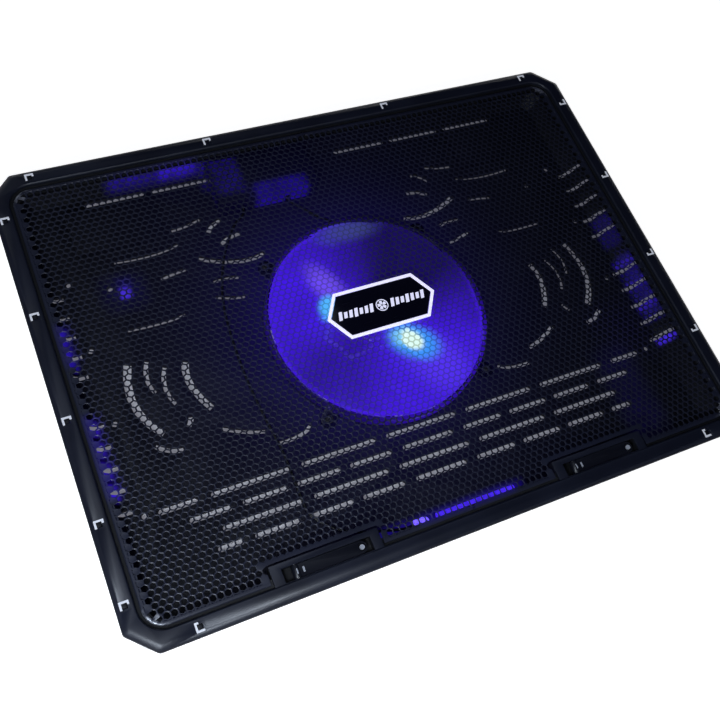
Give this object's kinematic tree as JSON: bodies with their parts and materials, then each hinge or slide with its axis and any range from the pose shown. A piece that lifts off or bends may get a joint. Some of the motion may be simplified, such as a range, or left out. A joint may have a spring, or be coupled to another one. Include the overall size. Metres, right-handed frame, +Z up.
{
  "type": "laptop cooling pad",
  "caption": "Flat laptop stand with a perforated metal panel in a chamfered frame, one large lit fan in a slotted tray, flip-up front stops, fold-out rear legs and a rear socket panel.",
  "frame": {"origin": "centre of the footprint, on the plane the rubber feet stand on", "axes": "+X to the right along the pad's long side, +Y to the rear edge where the sockets are, +Z up"},
  "size_m": [0.36, 0.265, 0.025],
  "materials": {
    "case_plastic": "fine-grained satin moulding, dark blue-grey",
    "tray_plastic": "fine-grained satin moulding, near black",
    "panel_steel": "dark grey satin paint on thin punched sheet",
    "nameplate_white": "smooth white rim",
    "nameplate_black": "smooth black face",
    "lit_blue": "translucent blue moulding lit from inside",
    "diode_blue": "clear lens, lit blue-white",
    "bright_steel": "bright drawn or pressed steel",
    "black_screw": "blackened screw",
    "magnet_ferrite": "sintered, dull grey",
    "stator_steel": "stacked sheets",
    "coil_copper": "enamelled copper wire",
    "bearing_bronze": "sintered bronze",
    "board_green": "green solder mask",
    "connector_nylon": "natural nylon",
    "foot_rubber": "black rubber",
    "lead_skin": "black soft sleeve"
  },
  "bodies": {
    "pad": {"top_frame": "case_plastic", "mesh_panel": "panel_steel", "nameplate_rim": "nameplate_white", "nameplate_face": "nameplate_black", "base_tray": "tray_plastic", "front_left_foot": "foot_rubber", "front_right_foot": "foot_rubber", "rear_left_foot": "foot_rubber", "rear_right_foot": "foot_rubber", "fan_frame": "lit_blue", "shaft_bearing": "bearing_bronze", "stator_core": "stator_steel", "stator_coil_1": "coil_copper", "stator_coil_2": "coil_copper", "stator_coil_3": "coil_copper", "stator_coil_4": "coil_copper", "fan_board": "board_green", "fan_led_front": "diode_blue", "fan_led_left": "diode_blue", "fan_screw_1": "black_screw", "fan_screw_2": "black_screw", "fan_screw_3": "black_screw", "fan_screw_4": "black_screw", "left_stop_pin": "bright_steel", "right_stop_pin": "bright_steel", "left_leg_pin": "bright_steel", "right_leg_pin": "bright_steel", "usb_board": "board_green", "board_screw_1": "black_screw", "board_screw_2": "black_screw", "left_usb_shell": "bright_steel", "right_usb_shell": "bright_steel", "left_usb_tongue": "connector_nylon", "right_usb_tongue": "connector_nylon", "usb_cover": "tray_plastic", "fan_connector": "connector_nylon", "light_connector": "connector_nylon", "power_switch_body": "nameplate_black", "fan_lead": "lead_skin", "light_lead": "lead_skin", "front_led": "diode_blue", "front_light_bar": "lit_blue"},
    "rotor": {"fan_rotor": "lit_blue", "rotor_magnet": "magnet_ferrite", "fan_shaft": "bright_steel"},
    "left_stop_bar": {"left_stop": "case_plastic"},
    "right_stop_bar": {"right_stop": "case_plastic"},
    "left_leg_plate": {"left_leg": "tray_plastic", "left_leg_pad": "foot_rubber"},
    "right_leg_plate": {"right_leg": "tray_plastic", "right_leg_pad": "foot_rubber"},
    "switch_knob": {"power_switch_knob": "case_plastic"}
  },
  "joints": [
    {"name": "fan_spin", "type": "hinge", "parent": "pad", "child": "rotor", "pos_m": [0, 0, 0.01], "axis": [0, 0, 1], "continuous": true},
    {"name": "left_stop_flip", "type": "hinge", "parent": "pad", "child": "left_stop_bar", "pos_m": [-0.0965, -0.11985, 0.0222], "axis": [0, -1, 0], "range_deg": [0, 90]},
    {"name": "right_stop_flip", "type": "hinge", "parent": "pad", "child": "right_stop_bar", "pos_m": [0.0635, -0.11985, 0.0222], "axis": [0, -1, 0], "range_deg": [0, 90]},
    {"name": "left_leg_fold", "type": "hinge", "parent": "pad", "child": "left_leg_plate", "pos_m": [-0.12, 0.1065, 0.006], "axis": [1, 0, 0], "range_deg": [0, 75]},
    {"name": "right_leg_fold", "type": "hinge", "parent": "pad", "child": "right_leg_plate", "pos_m": [0.12, 0.1065, 0.006], "axis": [1, 0, 0], "range_deg": [0, 75]},
    {"name": "switch_slide", "type": "slide", "parent": "pad", "child": "switch_knob", "axis": [1, 0, 0], "range_m": [0, 0.004]}
  ]
}
